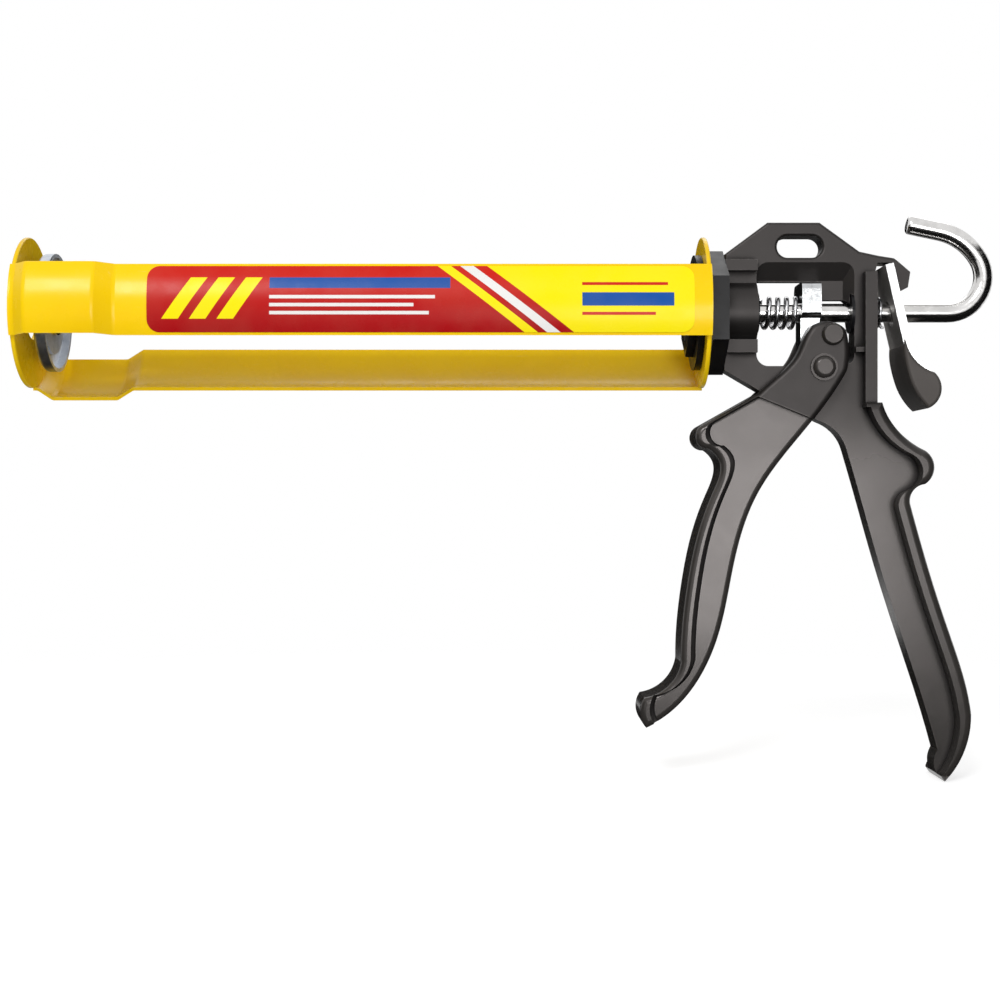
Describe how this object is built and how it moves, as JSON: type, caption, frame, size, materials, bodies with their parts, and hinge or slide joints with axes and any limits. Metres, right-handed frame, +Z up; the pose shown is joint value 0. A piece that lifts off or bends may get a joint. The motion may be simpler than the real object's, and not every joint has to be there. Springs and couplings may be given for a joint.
{
  "type": "caulking gun",
  "caption": "Hand caulking gun with a turning yellow two-rail cradle, black cast handle, squeeze trigger and a smooth hooked push rod.",
  "frame": {"origin": "on the rod axis, at the inner face of the front cap, in the nozzle hole", "axes": "+X along the rod from the nozzle to the handle, +Z up, +Y away from the viewer"},
  "size_m": [0.3285, 0.058, 0.1911],
  "materials": {
    "yellow_paint": "gloss",
    "label_film": "gloss",
    "cast_black": "satin",
    "black_steel": "gloss",
    "dark_rivet": "satin",
    "bright_steel": "polished",
    "spring_steel": "bright",
    "zinc": "zinc plated",
    "nylon": "matte",
    "grip_plastic": "satin"
  },
  "bodies": {
    "handle": {"body_casting": "cast_black", "swivel_collar": "black_steel", "thrust_washer": "nylon", "hub_nut": "black_steel", "front_bush": "black_steel", "rear_bush": "black_steel", "pivot_pin": "dark_rivet", "pivot_washers": "dark_rivet", "main_spring": "spring_steel", "catch_spring": "spring_steel"},
    "cradle": {"front_cap": "yellow_paint", "label_rail": "yellow_paint", "lower_rail": "yellow_paint", "rear_plate": "yellow_paint", "label": "label_film"},
    "trigger_body": {"trigger": "cast_black", "drive_pin": "dark_rivet"},
    "driver": {"drive_plate_front": "zinc", "drive_plate_rear": "zinc"},
    "catch": {"release_lever": "zinc", "lever_pad": "grip_plastic"},
    "rod": {"push_rod": "bright_steel", "plunger_disc": "zinc", "plunger_backing": "zinc", "plunger_washer": "zinc", "plunger_nut": "zinc"}
  },
  "joints": [
    {"name": "trigger_squeeze", "type": "hinge", "parent": "handle", "child": "trigger_body", "pos_m": [0.2676, 0, -0.0192], "axis": [0, -1, 0], "range_deg": [0, 34], "stiffness_Nm_per_rad": 0.35, "springref_deg": -11.46},
    {"name": "drive_slide", "type": "slide", "parent": "handle", "child": "driver", "axis": [-1, 0, 0], "range_m": [0, 0.0067], "deforming": ["main_spring"]},
    {"name": "rod_slide", "type": "slide", "parent": "handle", "child": "rod", "axis": [1, 0, 0], "range_m": [0, 0.205]},
    {"name": "catch_tilt", "type": "hinge", "parent": "handle", "child": "catch", "pos_m": [0.2896, 0, 0.0154], "axis": [0, 1, 0], "range_deg": [0, 8], "stiffness_Nm_per_rad": 0.3, "springref_deg": -11.46, "deforming": ["catch_spring"]},
    {"name": "cradle_swivel", "type": "hinge", "parent": "handle", "child": "cradle", "pos_m": [0.2287, 0, 0], "axis": [1, 0, 0], "continuous": true}
  ],
  "couplings": [
    {"joint": "drive_slide", "follows": "trigger_squeeze", "m_per_rad": 0.01115}
  ]
}
